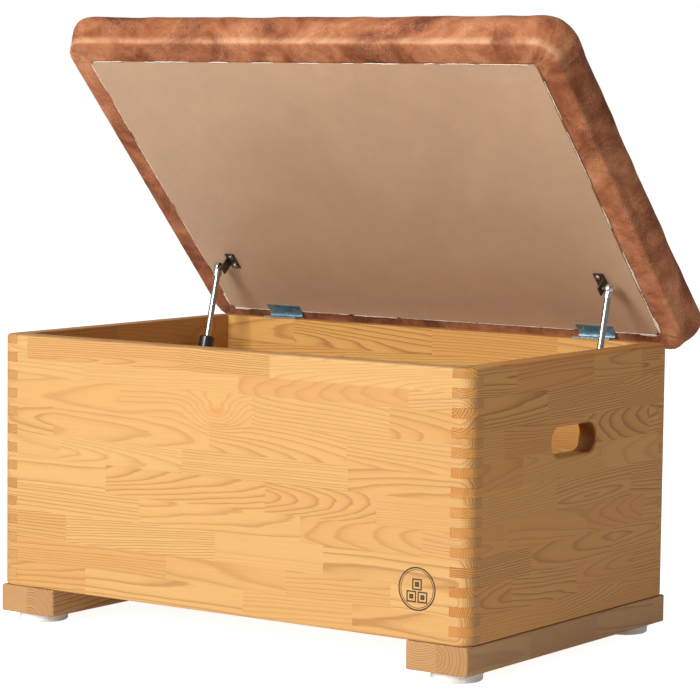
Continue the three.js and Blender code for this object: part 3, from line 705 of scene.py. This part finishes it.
def filled(edge, start):
    """A grid of quads inside a closed ring, as (new points, faces). start is the ring's first index."""
    wide, tall = ARC_STEPS + LONG_STEPS, ARC_STEPS + SHORT_STEPS
    count = len(edge)
    turn = [(ARC_STEPS // 2 + i) % count for i in range(count + 1)]
    right = turn[:tall + 1]
    top = turn[tall:tall + wide + 1][::-1]
    left = turn[tall + wide:2 * tall + wide + 1][::-1]
    low = turn[2 * tall + wide:2 * tall + 2 * wide + 1]
    index = {}
    for j in range(tall + 1):
        index[0, j], index[wide, j] = start + left[j], start + right[j]
    for i in range(wide + 1):
        index[i, 0], index[i, tall] = start + low[i], start + top[i]
    new = []
    for i in range(1, wide):
        for j in range(1, tall):
            s, t = i / wide, j / tall
            p = ((1 - t) * edge[low[i]] + t * edge[top[i]] + (1 - s) * edge[left[j]] + s * edge[right[j]]
                 - (1 - s) * (1 - t) * edge[low[0]] - s * (1 - t) * edge[low[wide]]
                 - (1 - s) * t * edge[top[0]] - s * t * edge[top[wide]])
            index[i, j] = start + count + len(new)
            new.append(p)
    faces = [(index[i, j], index[i + 1, j], index[i + 1, j + 1], index[i, j + 1])
             for i in range(wide) for j in range(tall)]
    return np.array(new), faces


def build_cover():
    points = outline()
    rings = cover_rings(points)
    count = len(points)
    verts = np.concatenate(rings)
    faces = []
    for j in range(len(rings) - 1):
        for i in range(count):
            k = (i + 1) % count
            faces.append((j * count + i, (j + 1) * count + i, (j + 1) * count + k, j * count + k))
    top, top_faces = filled(rings[-1], (len(rings) - 1) * count)
    rise_x = 1 - np.exp(-np.clip(COVER_X - SIDE[-1][0] - np.abs(top[:, 0]), 0, None) / 60)
    rise_y = 1 - np.exp(-np.clip(COVER_Y - SIDE[-1][0] - np.abs(top[:, 1] - COVER_MID), 0, None) / 60)
    top[:, 2] += CROWN * rise_x * rise_y
    verts = np.concatenate([verts, top])
    faces.extend(top_faces)
    faces.append(tuple(reversed(range(count))))
    mesh = bpy.data.meshes.new("lid_cushion")
    mesh.from_pydata((verts * MM).tolist(), [], faces)
    mesh.update()
    shape = bmesh.new()
    shape.from_mesh(mesh)
    bmesh.ops.triangulate(shape, faces=[f for f in shape.faces if len(f.verts) > 4])
    bmesh.ops.recalc_face_normals(shape, faces=shape.faces)
    shape.to_mesh(mesh)
    shape.free()
    cover = bpy.data.objects.new("lid_cushion", mesh)
    scene.collection.objects.link(cover)
    return cover


def points_of(obj):
    co = np.zeros(len(obj.data.vertices) * 3, np.float32)
    obj.data.vertices.foreach_get("co", co)
    return co.reshape(-1, 3).astype(float)


def put_points(obj, co):
    obj.data.vertices.foreach_set("co", co.astype(np.float32).ravel())
    obj.data.update()


def normals_of(obj):
    out = np.zeros(len(obj.data.vertices) * 3, np.float32)
    obj.data.vertices.foreach_get("normal", out)
    return out.reshape(-1, 3).astype(float)


def smoothed(t):
    t = np.clip(t, 0, 1)
    return t * t * (3 - 2 * t)


SINK = 0.6


def inflate(obj, held_below, grow, shrink, cap):
    """Cloth under pressure, as far as the foam and the stitching would let it move, all in mm.

    What lies under held_below is fixed. The sides start grow further out and the top shrink
    further in. No point moves more than cap, or sinks in by more than SINK.
    """
    aim = points_of(obj)
    free = smoothed((aim[:, 2] / MM - held_below) / 12.0)
    normal = normals_of(obj)
    level = np.abs(normal[:, 2])
    start = aim + normal * (free * (grow * (1 - level) - shrink * level) * MM)[:, None]
    put_points(obj, start)
    group = obj.vertex_groups.new(name="held")
    for i in np.nonzero(free < 0.02)[0]:
        group.add([int(i)], 1.0, "REPLACE")
    cloth = obj.modifiers.new("cloth", "CLOTH")
    settings = cloth.settings
    settings.quality = 5
    settings.mass = 0.25
    settings.tension_stiffness = 12
    settings.compression_stiffness = 12
    settings.shear_stiffness = 5
    settings.bending_stiffness = 0.4
    settings.use_pressure = True
    settings.uniform_pressure_force = 8.0
    settings.vertex_group_mass = "held"
    settings.effector_weights.gravity = 0
    cloth.collision_settings.use_collision = False
    for step in range(1, 21):
        scene.frame_set(step)
    grown = obj.evaluated_get(bpy.context.evaluated_depsgraph_get())
    end = np.zeros(len(grown.data.vertices) * 3, np.float32)
    grown.data.vertices.foreach_get("co", end)
    end = end.reshape(-1, 3).astype(float)
    obj.modifiers.remove(cloth)
    scene.frame_set(1)
    step = end - start
    inward = np.clip(-np.sum(step * normal, axis=1) - SINK * MM, 0, None)
    step += normal * inward[:, None]
    step *= smoothed((aim[:, 2] / MM - held_below) / 16.0)[:, None]
    size = np.linalg.norm(step, axis=1, keepdims=True)
    limit = cap * MM
    step *= np.minimum(1.0, limit / np.maximum(size, 1e-9))
    put_points(obj, start + step)
    print("cushion moved at most", float(size.max() / MM), "mm before the cap")


def subdivide(obj, levels=1):
    modifier = obj.modifiers.new("smooth", "SUBSURF")
    modifier.levels = modifier.render_levels = levels
    result = bpy.data.meshes.new_from_object(obj.evaluated_get(bpy.context.evaluated_depsgraph_get()))
    obj.modifiers.clear()
    old = obj.data
    obj.data = result
    result.name = obj.name
    bpy.data.meshes.remove(old)


def crease(co, normal, a, b, width, depth, ridge=0.45):
    """A fold from a to b (mm, lid shut): a valley along the line with soft ridges beside it."""
    a, b = np.array(a, float), np.array(b, float)
    line = b - a
    length = np.linalg.norm(line)
    t = np.clip((co - a) @ line / length ** 2, 0, 1)
    away = np.linalg.norm(co - (a + t[:, None] * line), axis=1) / width
    fade = np.sin(np.pi * np.clip(t * 0.92 + 0.04, 0, 1)) ** 0.6
    near = away < 5
    shape = np.zeros(len(co))
    d = away[near]
    shape[near] = -np.exp(-d ** 2) + ridge * np.exp(-(d - 1.9) ** 2 / 0.9)
    return normal * (shape * fade * depth)[:, None]


def corner_folds(rng):
    """Folds where the cloth is gathered at the four corners."""
    folds = []
    for sx in (-1, 1):
        for sy in (-1, 1):
            hole = np.array([sx * HOLE_X, sy * HOLE_Y + HOLE_MID])
            rim = np.array([sx * (COVER_X - 12), sy * (COVER_Y - 12) + COVER_MID])
            for k, spread in enumerate((-26, -12, 2, 15, 28)):
                turn = math.radians(spread + rng.uniform(-5, 5))
                way = rim - hole
                way = np.array([
                    way[0] * math.cos(turn) - way[1] * math.sin(turn),
                    way[0] * math.sin(turn) + way[1] * math.cos(turn),
                ])
                first = hole + way * rng.uniform(0.10, 0.25)
                last = hole + way * rng.uniform(0.70, 0.95)
                depth = rng.uniform(0.5, 1.2) * (1.4 if k == 2 else 1.0)
                folds.append(((*first, 5.1), (*last, 5.4), rng.uniform(1.6, 2.6), depth, 0.5))
            for along_x in (True, False):
                for k in range(3):
                    back = rng.uniform(14, 60)
                    lean = rng.uniform(-16, 10)
                    low, high = rng.uniform(8, 14), rng.uniform(34, 52)
                    if along_x:
                        y = sy * (COVER_Y - 4) + COVER_MID
                        first = (sx * (COVER_X - back), y, low)
                        last = (sx * (COVER_X - back - lean), sy * (COVER_Y - 1) + COVER_MID, high)
                    else:
                        x = sx * (COVER_X - 4)
                        first = (x, sy * (COVER_Y - back) + COVER_MID, low)
                        last = (sx * (COVER_X - 1), sy * (COVER_Y - back - lean) + COVER_MID, high)
                    folds.append((first, last, rng.uniform(2.4, 4.2), rng.uniform(0.5, 1.3), 0.4))
    return folds


def pucker_folds(rng):
    """Short pulls in the cloth under the lid, one or two at each staple."""
    folds = []
    for sy in (-1, 1):
        x = -HOLE_X + 30
        while x < HOLE_X - 30:
            y = sy * HOLE_Y + HOLE_MID
            lean = rng.uniform(-9, 9)
            reach = rng.uniform(9, 23)
            folds.append(((x, y + sy * 1.0, 5.1), (x + lean, y + sy * reach, 5.1), rng.uniform(1.3, 2.4),
                          rng.uniform(0.25, 0.75), 0.6))
            x += rng.uniform(9, 30)
    for sx in (-1, 1):
        y = -HOLE_Y + 30
        while y < HOLE_Y - 30:
            lean = rng.uniform(-9, 9)
            reach = rng.uniform(9, 22)
            folds.append(((sx * (HOLE_X + 1), y, 5.1), (sx * (HOLE_X + reach), y + lean, 5.1),
                          rng.uniform(1.3, 2.4), rng.uniform(0.2, 0.6), 0.6))
            y += rng.uniform(10, 34)
    return folds


def soften(obj):
    """Adds the folds, the pulls at the staples and slow waves to the smooth pad."""
    rng = random.Random(11)
    co = points_of(obj) / MM
    normal = normals_of(obj)
    move = np.zeros_like(co)
    for a, b, width, depth, ridge in corner_folds(rng) + pucker_folds(rng):
        low = np.minimum(a, b) - 5 * width
        high = np.maximum(a, b) + 5 * width
        near = np.all((co > low) & (co < high), axis=1)
        if near.any():
            move[near] += crease(co[near], normal[near], a, b, width, depth, ridge)
    x, y, z = co.T
    side = smoothed((z - 8) / 10) * smoothed((62 - z) / 14)
    edge = np.where(np.abs(normal[:, 0]) > np.abs(normal[:, 1]), y * 1.07 + 300 * np.sign(x), x)
    wave = np.zeros(len(co))
    for length, depth in ((173, 0.55), (97, 0.5), (61, 0.35), (38, 0.22)):
        wave += depth * np.sin(edge * 2 * math.pi / length + z * 0.05 + rng.uniform(0, 6.3))
    near_corner = np.exp(-((354 - np.abs(x)) + (252 - np.abs(y + 1.5))) / 70)
    pull_in = 1.6 * (1 - np.clip(near_corner * 2, 0, 1))
    move += normal * (side * (wave * 0.55 - pull_in))[:, None]
    top = smoothed((z - 50) / 9)
    soft = np.sin(x / 47 + 1.3) * np.sin(y / 39 + 0.4) * 0.5 + np.sin(x / 83) * np.cos(y / 71) * 0.5
    move += normal * (top * soft)[:, None]
    under = (normal[:, 2] < -0.6) & (z < 6.4)
    for length, depth in ((43, 0.10), (23, 0.10)):
        move[under, 2] += depth * np.sin((x[under] + y[under] * 1.1) * 2 * math.pi / length)
    put_points(obj, (co + move) * MM)


def open_lid(co):
    """Shut-lid millimetres to the open pose in metres."""
    y = co[:, 1] * MM + BODY_MID_Y - HINGE.y
    z = co[:, 2] * MM + RIM_Z - HINGE.z
    c, s = math.cos(OPEN), math.sin(OPEN)
    return np.stack([co[:, 0] * MM, HINGE.y + y * c + z * s, HINGE.z - y * s + z * c], 1)


def smooth_faces(obj, degrees=180):
    obj.data.shade_smooth()
    if degrees < 180:
        obj.data.set_sharp_from_angle(angle=math.radians(degrees))


cushion = build_cover()
inflate(cushion, held_below=10.0, grow=1.5, shrink=2.5, cap=4.5)
subdivide(cushion)
soften(cushion)
put_points(cushion, open_lid(points_of(cushion) / MM))
smooth_faces(cushion)
suede_cloth = suede()
cushion.data.materials.clear()
cushion.data.materials.append(suede_cloth)
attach(cushion, "lid")
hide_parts("lid_cover", "lid_foam")


# ---- raw edge of the cloth round the lining -------------------------------------

LINING_X, LINING_Y = 315.0, 213.5


def rim_point(s, out):
    """A point at s mm round the lining from its front left corner, out mm outside its edge."""
    long, short = 2 * LINING_X, 2 * LINING_Y
    s %= 2 * (long + short)
    if s < long:
        return -LINING_X + s, -LINING_Y - out, 0
    s -= long
    if s < short:
        return LINING_X + out, -LINING_Y + s, 1
    s -= short
    if s < long:
        return LINING_X - s, LINING_Y + out, 2
    return -LINING_X - out, LINING_Y - (s - long), 3


def strip(start, length, width, out, rng, verts, faces, drop=0.0):
    """One run of frayed edge: a thin closed strip with a wandering width."""
    steps = max(3, int(length / 2.2))
    base = len(verts)
    wander = out
    for i in range(steps + 1):
        t = i / steps
        taper = math.sin(math.pi * min(1, max(0.02, t))) ** 0.4
        half = width * taper * rng.uniform(0.65, 1.25) / 2
        wander += rng.uniform(-0.16, 0.16)
        wander = min(out + 0.5, max(out - 0.4, wander))
        lift = rng.uniform(-0.2, 0.25)
        for reach, z in ((-half, 4.7), (-half * 0.5, 4.0), (half * 0.5, 3.9), (half, 4.6), (0, 5.3)):
            x, y, _ = rim_point(start + length * t, wander + reach)
            verts.append((x, y + HOLE_MID, z + lift - drop))
    for i in range(steps):
        for k in range(5):
            a, b = base + i * 5 + k, base + i * 5 + (k + 1) % 5
            faces.append((a, b, b + 5, a + 5))
    faces.append(tuple(base + k for k in reversed(range(5))))
    faces.append(tuple(base + steps * 5 + k for k in range(5)))


def build_raw_edge():
    rng = random.Random(29)
    long, short = 2 * LINING_X, 2 * LINING_Y
    total = 2 * (long + short)
    verts, faces = [], []
    s = 4.0
    while s < total - 8:
        side = rim_point(s, 0)[2]
        if side == 2:
            length, width, gap = rng.uniform(60, 150), rng.uniform(2.2, 3.2), rng.uniform(1, 8)
        elif side == 0:
            length, width, gap = rng.uniform(14, 70), rng.uniform(1.0, 1.8), rng.uniform(5, 40)
        elif side == 1:
            length, width, gap = rng.uniform(30, 95), rng.uniform(1.3, 2.3), rng.uniform(8, 50)
            if s > long + 0.62 * short:
                width, gap = rng.uniform(2.2, 3.2), rng.uniform(2, 8)
        else:
            length, width, gap = rng.uniform(40, 120), rng.uniform(1.3, 2.1), rng.uniform(5, 30)
        for edge in (long, long + short, 2 * long + short, total):
            if s < edge < s + length:
                length = edge - s - 1.5
        if length > 5:
            strip(s, length, width, 0.35 + width / 2, rng, verts, faces)
        s += length + gap
    # the surplus cloth curls out at the two corners by the hinges
    for corner in (long + short, 2 * long + short):
        strip(corner - 27, 25, 5.5, 2.6, rng, verts, faces, 0.5)
        strip(corner + 3, 23, 4.6, 2.3, rng, verts, faces, 0.7)
    mesh = bpy.data.meshes.new("lid_cloth_raw_edge")
    mesh.from_pydata(open_lid(np.array(verts)).tolist(), [], faces)
    mesh.update()
    piece = bpy.data.objects.new("lid_cloth_raw_edge", mesh)
    scene.collection.objects.link(piece)
    mesh.materials.append(raw_edge())
    smooth_faces(piece)
    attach(piece, "lid")
    return piece


build_raw_edge()


# ---- plain burnt mark on the front ----------------------------------------------

MARK_X, MARK_BELOW_RIM = 264.3, 242.5
MARK_R, MARK_LINE, MARK_PROUD = 24.0, 1.6, 0.12


def build_mark():
    """A ring round three stacked blocks, burnt into the front panel."""
    verts, faces = [], []

    def plate(outer, inner):
        base, count = len(verts), len(outer)
        for depth in (-MARK_PROUD, 0.3):
            for loop in (outer, inner):
                verts.extend((x, depth, z) for x, z in loop)
        o, i = base, base + count
        p, q = base + 2 * count, base + 3 * count
        for k in range(count):
            m = (k + 1) % count
            faces.append((o + k, o + m, i + m, i + k))
            faces.append((p + m, p + k, q + k, q + m))
            faces.append((o + m, o + k, p + k, p + m))
            faces.append((i + k, i + m, q + m, q + k))

    def circle(r):
        return [(r * math.cos(a), r * math.sin(a)) for a in (2 * math.pi * k / 72 for k in range(72))]

    def square(x, z, half):
        return [(x - half, z - half), (x + half, z - half), (x + half, z + half), (x - half, z + half)]

    plate(circle(MARK_R), circle(MARK_R - MARK_LINE))
    plate(circle(MARK_R - 2.8), circle(MARK_R - 3.5))
    for x, z in ((-7.2, -8.6), (7.2, -8.6), (0, 5.0)):
        plate(square(x, z, 6.2), square(x, z, 4.7))
        plate(square(x, z, 2.6), square(x, z, 0.4))
    mesh = bpy.data.meshes.new("front_burnt_mark")
    mesh.from_pydata(
        [((MARK_X + x) * MM, FRONT_Y + y * MM, RIM_Z + (z - MARK_BELOW_RIM) * MM) for x, y, z in verts],
        [], faces,
    )
    mesh.update()
    mark = bpy.data.objects.new("front_burnt_mark", mesh)
    scene.collection.objects.link(mark)
    mesh.materials.append(burnt())
    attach(mark, "box")
    return mark


build_mark()
